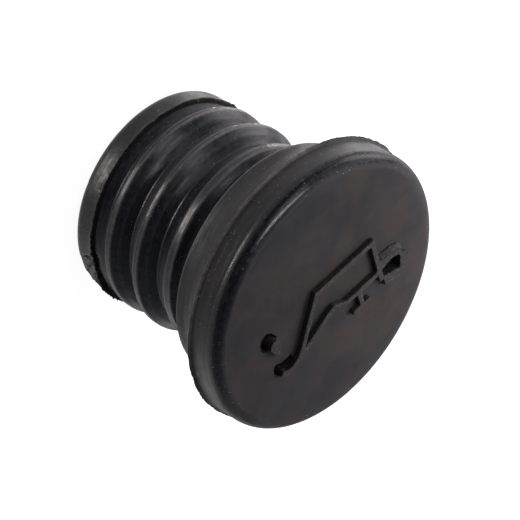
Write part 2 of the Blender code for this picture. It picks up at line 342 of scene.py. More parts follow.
class Profile:
    """The turned section from the face's edge to the hollow's roof, with what each ring carries."""

    def __init__(self):
        self.rings = []

    def add(self, radius, height, worn=0.0, ragged=0.0, shank=1.0, gloss=None):
        """One ring with its pale mark, for wear and for the flash's painted highlight; ragged how far flash
        strays, shank the darker rubber.
        """
        self.rings.append((radius, height, worn, ragged, shank, shank if gloss is None else gloss))

    def run(self, points, **marks):
        """Several rings in a row."""
        for radius, height in points:
            self.add(radius, height, **marks)

    def corner(self, radius, height, before, after, rounding, worn=0.0, **marks):
        """A rounded corner between two neighbouring points, with guard rings where a pale line of wear lies
        on it.
        """
        spot = Vector((radius, height))
        back = Vector(before) - spot
        ahead = Vector(after) - spot
        reach = min(rounding, back.length / 2.2, ahead.length / 2.2)
        guard = reach + LINE_WIDTH
        start = spot + back.normalized() * reach
        end = spot + ahead.normalized() * reach
        if worn and guard < back.length / 2:
            place = spot + back.normalized() * guard
            self.add(place.x, place.y, **marks)
        for share in (0.0, 0.33, 0.67, 1.0):
            place = start.lerp(spot, share).lerp(spot.lerp(end, share), share)
            self.add(place.x, place.y, worn=worn, **marks)
        if worn and guard < ahead.length / 2:
            place = spot + ahead.normalized() * guard
            self.add(place.x, place.y, **marks)

    def filled(self):
        """The rings with more put in wherever two lie far apart."""
        rings = [self.rings[0]]
        for ring in self.rings[1:]:
            last = rings[-1]
            gap = math.hypot(ring[0] - last[0], ring[1] - last[1])
            if gap < 1e-7:
                continue
            pieces = max(1, math.ceil(gap / WIDEST_RING_GAP))
            for piece in range(1, pieces + 1):
                share = piece / pieces
                rings.append(tuple(a + (b - a) * share for a, b in zip(last, ring)))
        return np.array(rings)


def rib_top(index):
    """Height at which a rib's back slopes reach the groove above it."""
    return FIRST_CREST + index * RIB_PITCH + RIB_LANDS[index] + RIB_SLOPE_LENGTH + RIB_FOOT_LENGTH


def head_rings(profile):
    """Rounded edge, rim and flash."""
    edge = arc(FLAT_RADIUS, FACE_HEIGHT - HEAD_EDGE_ROUNDING, HEAD_EDGE_ROUNDING, QUARTER, 0.0, 12)
    for step, (radius, height) in enumerate(edge[:-1]):
        share = min(1.0, step / 4)
        profile.add(radius, height, shank=share, gloss=EDGE_GLOSS * share)
    profile.add(*edge[-1], worn=0.15, gloss=EDGE_GLOSS)
    profile.add(HEAD_RADIUS, edge[-1][1] - RIM_GUARD, shank=RIM_DARKNESS, gloss=RIM_GLOSS)
    for share, height, worn, ragged, shank in FLASH_SECTION:
        radius = HEAD_RADIUS - RIM_TAPER + FLASH_REACH * share
        profile.add(radius, MOULD_LINE + height, worn, ragged, shank, RIM_GLOSS)


def collar_rings(profile):
    """Concave collar down to its lip, and the flat seat beneath."""
    flare_start = SEAT + COLLAR_LIP_LENGTH
    flare_end = MOULD_LINE - FLASH_THICKNESS * FLASH_ROOT_SHARE
    rise = flare_end - flare_start
    reach = COLLAR_TOP_RADIUS - COLLAR_LIP_RADIUS
    flare_angle = 2 * math.atan2(reach, rise)
    flare_radius = rise / math.sin(flare_angle)
    flare = []
    for step in range(FLARE_STEPS + 1):
        angle = flare_angle * (1 - step / FLARE_STEPS)
        flare.append((COLLAR_LIP_RADIUS + flare_radius * (1 - math.cos(angle)),
                      flare_start + flare_radius * math.sin(angle)))
    for step, place in enumerate(flare):
        profile.add(*place, shank=COLLAR_SHANK, gloss=COLLAR_GLOSS * (0.5 + 0.5 * step / FLARE_STEPS))
    seat_inner = (GROOVE_RADIUS, SEAT)
    profile.corner(COLLAR_LIP_RADIUS, SEAT, flare[-1], seat_inner, LIP_ROUNDING,
                   worn=0.7, ragged=0.05, gloss=COLLAR_GLOSS)
    profile.corner(*seat_inner, (COLLAR_LIP_RADIUS, SEAT), (GROOVE_RADIUS, SEAT - NECK_LENGTH),
                   SEAT_CORNER_ROUNDING)


def rib_corners():
    """Corner points of the ribs from the neck down, with rounding and worn share."""
    corners = []
    for index in reversed(range(len(RIB_CREST_RADII))):
        crest = FIRST_CREST + index * RIB_PITCH
        radius = RIB_CREST_RADII[index]
        land_top = crest + RIB_LANDS[index]
        below = rib_top(index - 1) if index else FIRST_GROOVE_START
        floor_radius = GROOVE_RADIUS if index else FIRST_GROOVE_RADIUS
        corners += [
            (GROOVE_RADIUS, rib_top(index), *FOOT_CORNER),
            (radius - RIB_SLOPE_DROP, land_top + RIB_SLOPE_LENGTH, *SLOPE_CORNER),
            (radius, land_top, *LAND_CORNER),
            (radius, crest, *CREST_CORNER),
            (floor_radius, below + GROOVE_FLOORS[index], *FOOT_CORNER),
        ]
    corners.append((FIRST_GROOVE_RADIUS, FIRST_GROOVE_START, *FOOT_CORNER))
    return corners


def shank_rings(profile):
    """Neck, ribs and the end land with its flash."""
    ledge = (END_LAND_RADIUS - LEDGE_DROP, END_LAND_LENGTH + LEDGE_RISE)
    corners = rib_corners()
    path = [(GROOVE_RADIUS, SEAT)] + [corner[:2] for corner in corners] + [ledge]
    for index, (radius, height, rounding, worn) in enumerate(corners):
        profile.corner(radius, height, path[index], path[index + 2], rounding, worn=worn)
    profile.add(*ledge)
    profile.add(END_LAND_RADIUS - 0.0002, END_LAND_LENGTH + 0.00010, ragged=0.8)
    land = {"shank": LAND_SHANK, "gloss": LAND_GLOSS}
    profile.add(END_LAND_RADIUS + 0.00008, END_LAND_LENGTH + 0.00004, worn=0.2, ragged=1.0, **land)
    profile.add(END_LAND_RADIUS, END_LAND_LENGTH - 0.00030, worn=LAND_RUB, ragged=0.4, **land)


def end_rings(profile):
    """Rounded inner edge and the flat ring that the cap stands on."""
    edge = arc(END_LAND_RADIUS - END_EDGE_ROUNDING, END_EDGE_ROUNDING, END_EDGE_ROUNDING, 0.0, -QUARTER, 9)
    profile.run(edge, worn=LAND_RUB, shank=LAND_SHANK, gloss=LAND_GLOSS)


def hollow_rings():
    """Mouth, wall and roof of the hollow."""
    profile = Profile()
    profile.run(arc(HOLLOW_RADIUS + MOUTH_EDGE_ROUNDING, MOUTH_EDGE_ROUNDING, MOUTH_EDGE_ROUNDING,
                    -QUARTER, -2 * QUARTER, 6))
    profile.run(arc(HOLLOW_RADIUS - HOLLOW_CORNER_ROUNDING, HOLLOW_ROOF - HOLLOW_CORNER_ROUNDING,
                    HOLLOW_CORNER_ROUNDING, 0.0, QUARTER, 8))
    profile.add(ROOF_CENTRE, HOLLOW_ROOF)
    return np.array(profile.rings)


def outer_rings():
    """All rings of the outside, from the face's edge to the flat end ring."""
    profile = Profile()
    head_rings(profile)
    collar_rings(profile)
    shank_rings(profile)
    end_rings(profile)
    return profile.filled()


def flash_stray(angle, height, ragged):
    """How far ragged flash strays, as shares of its reach: outwards and along the axis."""
    spot = Vector((math.cos(angle), math.sin(angle), height / 0.02))
    coarse = smooth_noise(spot + Vector((3.0, 0.0, 0.0)), 0.09)
    fine = smooth_noise(spot + Vector((0.0, 7.0, 0.0)), 0.022)
    along = smooth_noise(spot + Vector((0.0, 0.0, 11.0)), 0.03)
    return ragged * (0.5 * coarse + 0.5 * fine), ragged * along


def torn_depth(angle, height):
    """Depth of what is ripped from the end land there, and how black it shows, as fresh rubber and as painted
    shade in the tear.
    """
    depth = 0.0
    black = 0.0
    for start, end, lean, first, last, low, high, black_first, black_last in TEARS:
        turned = math.degrees(angle) - lean * (height - TEAR_LEAN_HEIGHT) * 1000.0
        share = (turned - start) / (end - start)
        if 0.0 <= share <= 1.0:
            reach = min(1.0, max(0.0, (height - low) / TEAR_FADE_IN),
                        max(0.0, (high - height) / TEAR_FADE_OUT))
            spot = Vector((math.degrees(angle), height / 0.0002, 1.0))
            rough_cut = 1.0 + TEAR_ROUGHNESS * smooth_noise(spot, 1.7)
            depth = (first + (last - first) * share) * reach * rough_cut
            turn = min(1.0, share * BLACK_TURN)
            black = (black_first + (black_last - black_first) * turn) * min(1.0, reach * 2.0)
    return depth, black


def barrel_wave(angle, height):
    """Slight unevenness of the moulded rubber, in metres."""
    spot = Vector((math.cos(angle) * 18.0, math.sin(angle) * 18.0, height / 0.001))
    flat = Vector((spot.x, spot.y, spot.z * 2.5))
    return BARREL_WAVE * (smooth_noise(spot, 4.5) + 0.5 * smooth_noise(flat, 1.5))


def outer_mesh():
    """Places and marks of the outside's vertices, ring by ring."""
    rings = outer_rings()
    angles = np.linspace(-math.pi, math.pi, AROUND, endpoint=False)
    places = np.zeros((len(rings), AROUND, 3))
    torn_and_shade = np.zeros((len(rings), AROUND))
    for row, (radius, height, _, ragged, *_) in enumerate(rings):
        end_share = min(1.0, height / END_CALM, (FACE_HEIGHT - height) / FACE_CALM)
        for column, angle in enumerate(angles):
            out = 0.0
            along = 0.0
            if ragged > 0.0:
                out, along = flash_stray(angle, height, ragged)
            here = radius + out * FLASH_STRAY + barrel_wave(angle, height) * end_share
            if height < END_LAND_LENGTH + TEAR_OVER and radius > END_LAND_RADIUS - TEAR_INSIDE:
                depth, torn_and_shade[row, column] = torn_depth(angle, height)
                here -= depth
            places[row, column] = (here * math.cos(angle), here * math.sin(angle),
                                   height + along * FLASH_SWAY)
    return places, torn_and_shade, rings


def faces_between(first, second, count):
    """Quads between two rings of as many vertices."""
    return [(first + i, first + (i + 1) % count, second + (i + 1) % count, second + i) for i in range(count)]


def stroke_outline(points, width):
    """Closed outline of a stroke of even width along corner points, with mitred corners."""
    half = width / 2
    left = []
    right = []
    for index, (x, y) in enumerate(points):
        before = points[max(index - 1, 0)]
        after = points[min(index + 1, len(points) - 1)]
        normals = []
        for start, end in ((before, (x, y)), ((x, y), after)):
            run = math.hypot(end[0] - start[0], end[1] - start[1])
            if run > 0:
                normals.append((-(end[1] - start[1]) / run, (end[0] - start[0]) / run))
        mean = (sum(n[0] for n in normals) / len(normals), sum(n[1] for n in normals) / len(normals))
        square = mean[0] ** 2 + mean[1] ** 2
        offset = (mean[0] / square * half, mean[1] / square * half)
        left.append((x + offset[0], y + offset[1]))
        right.append((x - offset[0], y - offset[1]))
    return left + right[::-1]


def pictogram_outlines():
    """Every raised stroke of the pictogram as a closed outline, and the hole in the handle."""
    outlines = []
    for *points, share in CAN_STROKES:
        outlines.append(stroke_outline(points, STROKE_WIDTH * share))
    outlines += [list(CAN_CORNER_FILL), list(HANDLE_OUTLINE), list(DROP_OUTLINE)]
    return outlines, list(HANDLE_HOLE)


def inside(points, loops):
    """Which points lie inside an odd number of closed loops."""
    points = np.asarray(points, float)
    odd = np.zeros(len(points), bool)
    for loop in loops:
        loop = np.asarray(loop, float)
        for (x1, y1), (x2, y2) in zip(loop, np.roll(loop, -1, axis=0)):
            if y1 == y2:
                continue
            spans = (points[:, 1] > min(y1, y2)) & (points[:, 1] <= max(y1, y2))
            crossing = x1 + (points[:, 1] - y1) * (x2 - x1) / (y2 - y1)
            odd ^= spans & (points[:, 0] < crossing)
    return odd


def turned_left(outline):
    """The outline run counter-clockwise."""
    area = sum(a[0] * b[1] - b[0] * a[1] for a, b in zip(outline, outline[1:] + outline[:1]))
    return outline if area > 0 else outline[::-1]


def joined_loops(outlines, opening):
    """The edge loops of all strokes together, where overlapping ones have become one."""
    points = []
    faces = []
    for outline in outlines + [opening]:
        start = len(points)
        points += [Vector(point) for point in turned_left(outline)]
        faces.append(list(range(start, len(points))))
    verts, _, triangles, _, _, sources = delaunay_2d_cdt(points, [], faces, 1, 1e-5)
    hole = len(faces) - 1
    kept = [tri for tri, source in zip(triangles, sources) if source and hole not in source]
    following = {}
    seen = {(a, b) for tri in kept for a, b in zip(tri, tri[1:] + tri[:1])}
    for a, b in seen:
        if (b, a) not in seen:
            following.setdefault(a, []).append(b)
    loops = []
    while following:
        start = min(following)
        loop = [start]
        spot = following[start].pop()
        while spot != start:
            loop.append(spot)
            spot = following[spot].pop()
        following = {key: value for key, value in following.items() if value}
        loops.append([tuple(verts[index]) for index in loop])
    return loops


def resampled(loop):
    """The loop with evenly spaced points, its corners rounded and its run rough as ripped rubber."""
    points = []
    for start, end in zip(loop, loop[1:] + loop[:1]):
        length = math.dist(start, end)
        pieces = max(1, round(length / OUTLINE_STEP))
        for piece in range(pieces):
            share = piece / pieces
            points.append([a + (b - a) * share for a, b in zip(start, end)])
    points = np.array(points)
    for _ in range(2):
        points = points / 2 + (np.roll(points, 1, axis=0) + np.roll(points, -1, axis=0)) / 4
    normal = outward(points)
    stray = np.array([smooth_noise(Vector((x, y, 3.0)), 0.55) + 0.6 * smooth_noise(Vector((x, y, 9.0)), 0.2)
                      for x, y in points])
    return points + normal * (stray * OUTLINE_RAGGEDNESS)[:, None]


def outward(points):
    """Unit normals of a closed loop, pointing to the right of its run."""
    along = np.roll(points, -1, axis=0) - np.roll(points, 1, axis=0)
    normal = np.stack([along[:, 1], -along[:, 0]], axis=1)
    return normal / np.maximum(np.linalg.norm(normal, axis=1), 1e-9)[:, None]


def room_ahead(points, directions, loops):
    """How far each point can go along its direction before it meets an edge of a loop."""
    starts = np.concatenate(loops)
    ends = np.concatenate([np.roll(loop, -1, axis=0) for loop in loops])
    run = ends - starts
    room = np.full(len(points), FAR)
    for index, (point, direction) in enumerate(zip(points, directions)):
        away = starts - point
        cross = direction[0] * run[:, 1] - direction[1] * run[:, 0]
        cross = np.where(np.abs(cross) < 1e-12, 1e-12, cross)
        ahead = (away[:, 0] * run[:, 1] - away[:, 1] * run[:, 0]) / cross
        across = (away[:, 0] * direction[1] - away[:, 1] * direction[0]) / cross
        hits = ahead[(ahead > 1e-3) & (across >= 0.0) & (across <= 1.0)]
        if len(hits):
            room[index] = hits.min()
    return room


def shifted(loop, distance, loops):
    """The loop moved outwards, or inwards for a negative distance, but never across another edge."""
    direction = outward(loop) * math.copysign(1.0, distance)
    step = np.minimum(abs(distance), 0.3 * room_ahead(loop, direction, loops))
    for _ in range(2):
        step = np.minimum(step, (np.roll(step, 1) + step + np.roll(step, -1)) / 3)
    return loop + direction * step[:, None]


def edge_distance(points, outline):
    """Distance of each point to a closed outline, negative inside it."""
    points = np.asarray(points, float)
    outline = np.asarray(outline, float)
    nearest = np.full(len(points), FAR)
    for start, end in zip(outline, np.roll(outline, -1, axis=0)):
        run = end - start
        share = np.clip(((points - start) @ run) / (run @ run), 0.0, 1.0)
        gap = np.linalg.norm(points - start - share[:, None] * run, axis=1)
        nearest = np.minimum(nearest, gap)
    return np.where(inside(points, [outline]), -nearest, nearest)


def eased(values):
    """Smooth step from 0 to 1."""
    values = np.clip(values, 0.0, 1.0)
    return values * values * (3.0 - 2.0 * values)


def ground(points):
    """Level of the rubber around the strokes, in squares: the face with its three pockets."""
    points = np.asarray(points, float)
    level = np.zeros(len(points))
    for outline in (SPOUT_POCKET, DROP_POCKET):
        level -= eased(0.5 - edge_distance(points, outline) / POCKET_EDGE) * POCKET_DEPTH
    hole = edge_distance(points, HANDLE_HOLE) < 0.06
    return np.where(hole, -POCKET_DEPTH, level)


def stroke_top(points):
    """Level of the strokes' tops, in squares; the handle's near side slopes down to a low edge."""
    points = np.asarray(points, float)
    height = RELIEF_HEIGHT / SYMBOL_SQUARE
    inward = -edge_distance(points, HANDLE_SLOPE)
    outer = edge_distance(points, HANDLE_OUTLINE)
    share = np.clip(-outer / SLOPE_WIDTH, 0.0, 1.0)
    sloped = SLOPE_FOOT + (height - SLOPE_FOOT) * share
    level = np.where(inward > 0.0, np.minimum(sloped, height), height)
    stray = np.array([rough(x, y) for x, y in points])
    return level + stray


def grid_points(spacing, reach):
    """Points of a triangular grid within a disc."""
    points = []
    rows = math.ceil(reach / spacing)
    for row in range(-rows, rows + 1):
        for column in range(-rows - 1, rows + 2):
            x = (column + 0.5 * (row % 2)) * spacing
            y = row * spacing * math.sqrt(0.75)
            if math.hypot(x, y) < reach:
                points.append((x, y))
    return np.array(points)


def clear_mask(points, others, distance):
    """Which points keep a distance from all the others."""
    clear = np.ones(len(points), bool)
    batch = 400
    for start in range(0, len(points), batch):
        part = points[start:start + batch]
        gaps = np.linalg.norm(part[:, None] - others[None], axis=2).min(axis=1)
        clear[start:start + batch] = gaps > distance
    return clear


class Shell:
    """Collects vertices, faces and marks of the whole mesh."""

    def __init__(self):
        self.places = []
        self.marks = []
        self.faces = []
        self.count = 0

    def add(self, places, marks):
        """Add vertices with their marks and say where they start."""
        start = self.count
        self.places.append(np.asarray(places, float).reshape(-1, 3))
        marks = np.asarray(marks, float)
        if marks.ndim == 1:
            marks = np.tile(marks, (len(self.places[-1]), 1))
        self.marks.append(marks)
        self.count += len(self.places[-1])
        return start


def face_wave(x, y):
    """Slight unevenness of the moulded face, in metres."""
    return FACE_WAVE * smooth_noise(Vector((x, y, 0.0)), 5.0)


def rough(x, y):
    """Unevenness of the strokes' tops, in squares."""
    return 0.03 * (smooth_noise(Vector((x, y, 5.0)), 0.5) + smooth_noise(Vector((x, y, 8.0)), 1.7))


def add_points(shell, points, levels, sign, black=0.0):
    """Vertices over the head, at levels in squares above the face; what lies deep, and the walls down to
    their given least, are painted black as shade.
    """
    places = []
    marks = []
    for (x, y), level, least in zip(points, levels, np.broadcast_to(black, len(points))):
        fade = min(1.0, max(0.0, FLAT_RADIUS / SYMBOL_SQUARE - math.hypot(x, y)))
        places.append((x * SYMBOL_SQUARE, y * SYMBOL_SQUARE,
                       FACE_HEIGHT + face_wave(x, y) * fade + level * SYMBOL_SQUARE))
        # Painted shade: pockets and walls are painted black, less in the dusty pocket.
        most = DUSTY_POCKET_BLACK if x > DUSTY_POCKET_LEFT and y < DUSTY_POCKET_TOP else 1.0
        marks.append((0.0, 0.0, sign, min(1.0, max(least, -level / 0.5)) * most, 0.0))
    return shell.add(places, marks)


def add_stroke_walls(shell, top, loops):
    """The wall round one edge loop, from the crown of the stroke down to the rubber around it."""
    crown = shifted(top, -CROWN_SOFTENING, loops)
    crest = shifted(top, -CROWN_SOFTENING * 0.3, loops)
    foot = shifted(top, WALL_DRAFT, loops)
    knee = top + (foot - top) * 0.45
    crest_level = stroke_top(crest)
    floor = ground(foot)
    deep = eased(-floor / 0.4)
    # Each row's places, level, share of the pictogram's dust, and how black it is painted at least, as shade
    # on the wall.
    rows = [
        (crown, stroke_top(crown), 1.0, 0.0),
        (crest, crest_level - 0.03, 1.0, 0.1),
        (top, crest_level - 0.10, 0.8, 0.4 + 0.5 * deep),
        (knee, floor + 0.12 * (crest_level - floor), 0.3, 0.75 + 0.25 * deep),
        (foot, floor, 0.2, 0.35),
    ]
    starts = [add_points(shell, *row) for row in rows]
    for upper, lower in zip(starts, starts[1:]):
        shell.faces += faces_between(upper, lower, len(top))
    return crown, foot


def add_area(shell, loops, loose, strokes, level, sign):
    """Triangles over loops and loose points: the strokes' tops for a sign of 1, the rest for 0."""
    points = []
    edges = []
    for loop in loops:
        start = len(points)
        points += [Vector(point) for point in loop]
        edges += [(start + i, start + (i + 1) % len(loop)) for i in range(len(loop))]
    points += [Vector(point) for point in loose]
    verts, _, triangles, _, _, _ = delaunay_2d_cdt(points, edges, [], 0, 1e-6)
    verts = np.array([tuple(vert) for vert in verts])
    middles = np.array([verts[list(tri)].mean(axis=0) for tri in triangles])
    chosen = inside(middles, strokes) == bool(sign)
    start = add_points(shell, verts, level(verts), sign)
    shell.faces += [tuple(start + index for index in tri) for tri, keep in zip(triangles, chosen) if keep]


def add_face(shell):
    """The flat face, its pockets and the raised pictogram."""
    outlines, opening = pictogram_outlines()
    tops = [resampled(loop) for loop in joined_loops(outlines, opening)]
    crowns, feet = zip(*(add_stroke_walls(shell, top, tops) for top in tops))
    angles = np.linspace(-math.pi, math.pi, AROUND, endpoint=False)
    reach = FLAT_RADIUS / SYMBOL_SQUARE
    circle = np.stack([np.cos(angles), np.sin(angles)], axis=1) * reach
    foot_points = np.concatenate(feet)
    fine = grid_points(FINE_GRID, reach - 0.5)
    fine = fine[~clear_mask(fine, foot_points, FINE_REACH) | near_pockets(fine)]
    fine = fine[clear_mask(fine, foot_points, FINE_GRID * 0.55)]
    fine = fine[~inside(fine, feet)]
    coarse = grid_points(FACE_GRID, reach - 0.5)
    coarse = coarse[clear_mask(coarse, np.concatenate([foot_points, fine]), FACE_GRID * 0.6)]
    coarse = coarse[~inside(coarse, feet)]
    add_area(shell, [circle, *feet], np.concatenate([fine, coarse]), feet, ground, 0.0)
    middle = grid_points(FINE_GRID, reach)
    middle = middle[inside(middle, crowns)]
    middle = middle[clear_mask(middle, np.concatenate(crowns), FINE_GRID * 0.55)]
    add_area(shell, crowns, middle, crowns, stroke_top, 1.0)


def near_pockets(points):
    """Which points lie in or beside a pocket."""
    near = np.zeros(len(points), bool)
    for outline in (SPOUT_POCKET, DROP_POCKET):
        near |= edge_distance(points, outline) < 0.3
    return near


def stretch_share(first, full, last, gone):
    """For each column of the outside, how far a mark holds there that fades out at both its ends."""
    degrees = np.degrees(np.linspace(-math.pi, math.pi, AROUND, endpoint=False))
    return eased((degrees - first) / (full - first)) * eased((gone - degrees) / (gone - last))


def outer_marks(rings, torn_and_shade):
    """Marks of the outside's vertices; the head edge's gloss and painted shade, the flash's pale wear with
    its painted highlight and shadow, and the rim side's painted light keep to stretches.
    """
    glossy = stretch_share(*GLOSSY_STRETCH)
    rubbed_and_lit = stretch_share(*RUBBED_AND_LIT_STRETCH)
    matt = stretch_share(*MATT_STRETCH)
    marks = np.zeros((len(rings), AROUND, len(MARKS)))
    # Tears are black as fresh rubber and as painted shade in the tear.
    marks[:, :, TORN_AND_SHADE] = torn_and_shade
    for row, (radius, height, worn, _, shank, gloss) in enumerate(rings):
        if height > FACE_HEIGHT - HEAD_EDGE_ROUNDING - 0.0001:
            fallen = min(1.0, (FACE_HEIGHT - height) / (HEAD_EDGE_ROUNDING * 0.4))
            marks[row, :, SHANK] = EDGE_MATT_SHANK + (shank - EDGE_MATT_SHANK) * glossy
            # The head's edge is painted dark in the glossy stretch, as painted shade for its dark reflection.
            marks[row, :, TORN_AND_SHADE] = EDGE_PAINTED_SHADE * fallen * glossy
            marks[row, :, GLOSS] = EDGE_MATT_GLOSS * fallen * (1 - glossy) + gloss * glossy
            continue
        above = height - MOULD_LINE
        # In its stretch the flash is painted pale, as wear and as a painted highlight on its edge.
        marks[row, :, WORN_AND_LIT] = worn * (0.1 + 0.9 * rubbed_and_lit) if abs(above) < RUBBED_REACH else worn
        # Outside its pale stretch the flash's tip is painted black, as the shadow under it.
        if abs(above) < FLASH_SHADOW_REACH:
            marks[row, :, TORN_AND_SHADE] = FLASH_PAINTED_SHADOW * (1 - rubbed_and_lit)
        # The rim's side is painted paler outside the matt stretch, as painted light on its lit sides.
        if above > RIM_START:
            marks[row, :, WORN_AND_LIT] = RIM_RUB + RIM_SIDE_PAINTED_LIGHT * (1 - matt)
        marks[row, :, SHANK] = shank
        marks[row, :, GLOSS] = gloss + (RIM_MATT - gloss) * matt if above > 0 else gloss
        # The whole end land is darkened through the same mark.
        if height < END_LAND_LENGTH:
            marks[row, :, TORN_AND_SHADE] = np.maximum(marks[row, :, TORN_AND_SHADE], LAND_BLACK)
        # The ledge behind the end land is painted black, as the shadow of the land's edge.
        if abs(height - END_LAND_LENGTH) < LEDGE_REACH and radius < END_LAND_RADIUS - LEDGE_INSET:
            marks[row, :, TORN_AND_SHADE] = np.maximum(marks[row, :, TORN_AND_SHADE], LEDGE_PAINTED_SHADOW)
    return marks.reshape(-1, len(MARKS))


def add_outside(shell):
    """The turned outside; says where its last ring starts."""
    places, torn_and_shade, rings = outer_mesh()
    start = shell.add(places, outer_marks(rings, torn_and_shade))
    last = start + (len(rings) - 1) * AROUND
    for ring in range(start, last, AROUND):
        shell.faces += faces_between(ring, ring + AROUND, AROUND)
    return last


def add_hollow(shell, outside_ring):
    """The hollow, coarser than the outside and joined to it on the flat end ring."""
    rings = hollow_rings()
    angles = np.linspace(-math.pi, math.pi, AROUND_HOLLOW, endpoint=False)
    places = [(radius * math.cos(angle), radius * math.sin(angle), height)
              for radius, height, *_ in rings for angle in angles]
    start = shell.add(places, (0.0, 1.0, 0.0, 0.0, 1.0))
    ratio = AROUND // AROUND_HOLLOW
    for i in range(AROUND_HOLLOW):
        outer = [outside_ring + (i * ratio + step) % AROUND for step in range(ratio + 1)]
        shell.faces.append(tuple(outer + [start + (i + 1) % AROUND_HOLLOW, start + i]))
    last = start + (len(rings) - 1) * AROUND_HOLLOW
    for ring in range(start, last, AROUND_HOLLOW):
        shell.faces += faces_between(ring, ring + AROUND_HOLLOW, AROUND_HOLLOW)
    shell.faces.append(tuple(last + i for i in range(AROUND_HOLLOW)))


def cap_mesh():
    """The whole finished mesh with its marks as attributes."""
    shell = Shell()
    outside_ring = add_outside(shell)
    add_hollow(shell, outside_ring)
    add_face(shell)
    places = np.concatenate(shell.places)
    marks = np.concatenate(shell.marks)
    mesh = bpy.data.meshes.new("cap_rubber")
    mesh.from_pydata([tuple(p) for p in places], [], shell.faces)
    for column, name in enumerate(MARKS):
        layer = mesh.attributes.new(name, "FLOAT", "POINT")
        layer.data.foreach_set("value", marks[:, column].astype(np.float32))
    build = bmesh.new()
    build.from_mesh(mesh)
    bmesh.ops.remove_doubles(build, verts=build.verts, dist=WELD_DISTANCE)
    bmesh.ops.recalc_face_normals(build, faces=build.faces)
    build.to_mesh(mesh)
    build.free()
    mesh.shade_smooth()
    mesh.set_sharp_from_angle(angle=SHARP_ANGLE)
    return mesh


class Graph:
    """Adds nodes to a tree and wires them."""

    def __init__(self, tree):
        self.tree = tree

    def feed(self, socket, value):
        """Link an output to a socket, or set its value."""
        if isinstance(value, bpy.types.NodeSocket):
            self.tree.links.new(value, socket)
        else:
            socket.default_value = value

    def add(self, kind, inputs=None, **settings):
        """A node with its settings, its sockets fed by name or number."""
        node = self.tree.nodes.new(kind)
        for name, value in settings.items():
            setattr(node, name, value)
        for key, value in (inputs or {}).items():
            self.feed(node.inputs[key], value)
        return node

    def math(self, operation, *values):
        """The result of a Math node."""
        return self.add("ShaderNodeMath", dict(enumerate(values)), operation=operation).outputs[0]

    def ramp(self, value, low, high, start=0.0, end=1.0):
        """A smooth step of a value between two limits."""
        inputs = {"Value": value, "From Min": low, "From Max": high, "To Min": start, "To Max": end}
        return self.add("ShaderNodeMapRange", inputs, interpolation_type="SMOOTHSTEP").outputs["Result"]

    def colour(self, share, first, second):
        """A mix of two colours."""
        return self.add("ShaderNodeMix", {0: share, 6: first, 7: second}, data_type="RGBA").outputs[2]

    def value(self, share, first, second):
        """A mix of two values."""
        return self.add("ShaderNodeMix", {0: share, 2: first, 3: second}, data_type="FLOAT").outputs[0]

    def times(self, first, second):
        """Two values multiplied."""
        return self.math("MULTIPLY", first, second)

    def most(self, first, second):
        """The larger of two values."""
        return self.math("MAXIMUM", first, second)

    def group(self, group, spot, settings):
        """The output of a node group placed in the tree, with its settings at a spot."""
        return self.add("ShaderNodeGroup", {"Vector": spot, **settings}, node_tree=group).outputs[0]


def new_group(name, settings, output):
    """A shader node group with named sockets; gives its graph, its inputs and its output's socket."""
    group = bpy.data.node_groups.new(name, "ShaderNodeTree")
    group.interface.new_socket("Vector", in_out="INPUT", socket_type="NodeSocketVector")
    for label, value in settings.items():
        socket = group.interface.new_socket(label, in_out="INPUT", socket_type="NodeSocketFloat")
        socket.default_value = value
    group.interface.new_socket(output, in_out="OUTPUT", socket_type="NodeSocketFloat")
    graph = Graph(group)
    given = graph.add("NodeGroupInput").outputs
    return group, graph, given, graph.add("NodeGroupOutput").inputs[output]


def dust_group():
    """Pale specks that lie on some cells of a scattered pattern."""
    group, graph, given, result = new_group("dust_specks", SMALL_DUST, "Mask")
    cells = graph.add("ShaderNodeTexVoronoi", {"Vector": given["Vector"], "Scale": given["Per Metre"]})
    parts = graph.add("ShaderNodeSeparateColor", {"Color": cells.outputs["Color"]})
    picked = graph.math("LESS_THAN", parts.outputs["Red"], given["Share"])
    size = graph.times(given["Radius"], graph.math("ADD", parts.outputs["Green"], 0.35))
    speck = graph.ramp(cells.outputs["Distance"], graph.times(size, 0.5), size, 1.0, 0.0)
    graph.feed(result, graph.times(speck, picked))
    return group


def mottle_group():
    """Soft patches with ragged edges."""
    group, graph, given, result = new_group("rubber_mottle", BROAD_PATCHES, "Mask")
    cloud = graph.add("ShaderNodeTexNoise", {"Vector": given["Vector"], "Scale": given["Per Metre"],
                                             "Detail": 4.0, "Roughness": 0.6})
    graph.feed(result, graph.ramp(cloud.outputs[0], given["Low"], given["High"]))
    return group


def streak_group():
    """Fine lines that run round the axis, as the turned mould leaves them."""
    group, graph, given, result = new_group("turning_streaks", STREAKS, "Value")
    squeeze = graph.add("ShaderNodeCombineXYZ", {"X": given["Length"], "Y": given["Length"], "Z": 1.0})
    spot = graph.add("ShaderNodeVectorMath", {0: given["Vector"], 1: squeeze.outputs[0]},
                     operation="MULTIPLY")
    lines = graph.add("ShaderNodeTexNoise", {"Vector": spot.outputs[0], "Scale": given["Per Metre"],
                                             "Detail": 2.0, "Roughness": 0.5})
    graph.feed(result, lines.outputs[0])
    return group


